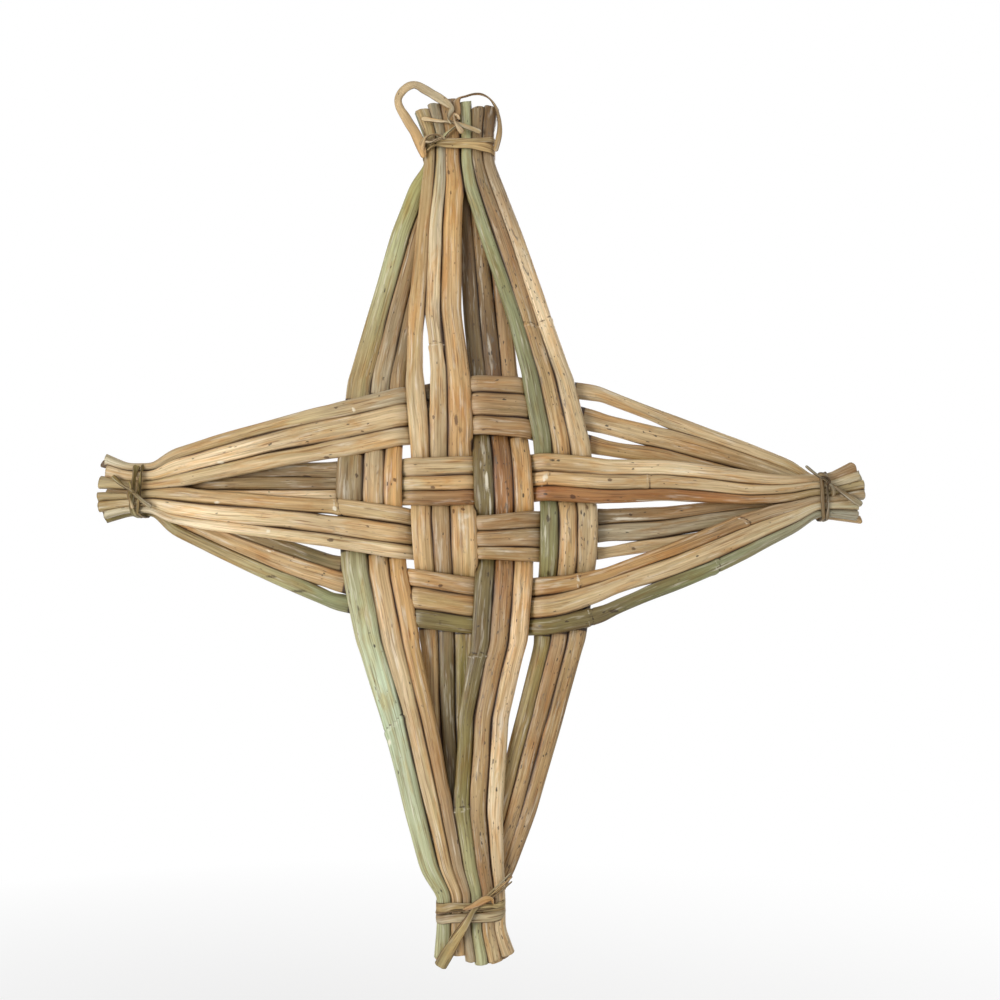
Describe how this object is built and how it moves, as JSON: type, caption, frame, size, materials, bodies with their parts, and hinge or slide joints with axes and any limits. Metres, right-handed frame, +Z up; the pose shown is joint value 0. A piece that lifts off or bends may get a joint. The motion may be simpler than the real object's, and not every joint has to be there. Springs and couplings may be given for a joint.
{
  "type": "brigid cross",
  "caption": "Hand-woven brigid cross of dried rush reeds: a square plain weave in the middle, tapering arms bound at their ends, and a strip loop at the top to hang it by",
  "frame": {"origin": "the point where the nail carries the hanging loop, the inner top of its eye", "axes": "+Z up along the upright reeds, +X to the right of the front view, -Y the side that the picture shows, +Y the side against the wall"},
  "size_m": [0.2985, 0.0136, 0.3484],
  "materials": {
    "straw_reed": "dried rush, satin with lengthwise fibres and dark specks",
    "rush_tie": "twisted dried rush strip, olive brown, dull",
    "rush_strip": "flat dried rush strip, straw and yellow green, satin"
  },
  "bodies": {
    "root": {"reed_v1a": "straw_reed", "reed_v1b": "straw_reed", "reed_v1c": "straw_reed", "reed_v2a": "straw_reed", "reed_v2b": "straw_reed", "reed_v2c": "straw_reed", "reed_v3a": "straw_reed", "reed_v3b": "straw_reed", "reed_v3c": "straw_reed", "reed_v4a": "straw_reed", "reed_v4b": "straw_reed", "reed_v4c": "straw_reed", "reed_h1a": "straw_reed", "reed_h1b": "straw_reed", "reed_h1c": "straw_reed", "reed_h2a": "straw_reed", "reed_h2b": "straw_reed", "reed_h2c": "straw_reed", "reed_h3a": "straw_reed", "reed_h3b": "straw_reed", "reed_h3c": "straw_reed", "reed_h4a": "straw_reed", "reed_h4b": "straw_reed", "reed_h4c": "straw_reed", "tie_top": "rush_tie", "tie_bottom": "rush_tie", "tie_left": "rush_tie", "tie_right": "rush_tie", "hanging_loop": "rush_strip"}
  },
  "joints": []
}
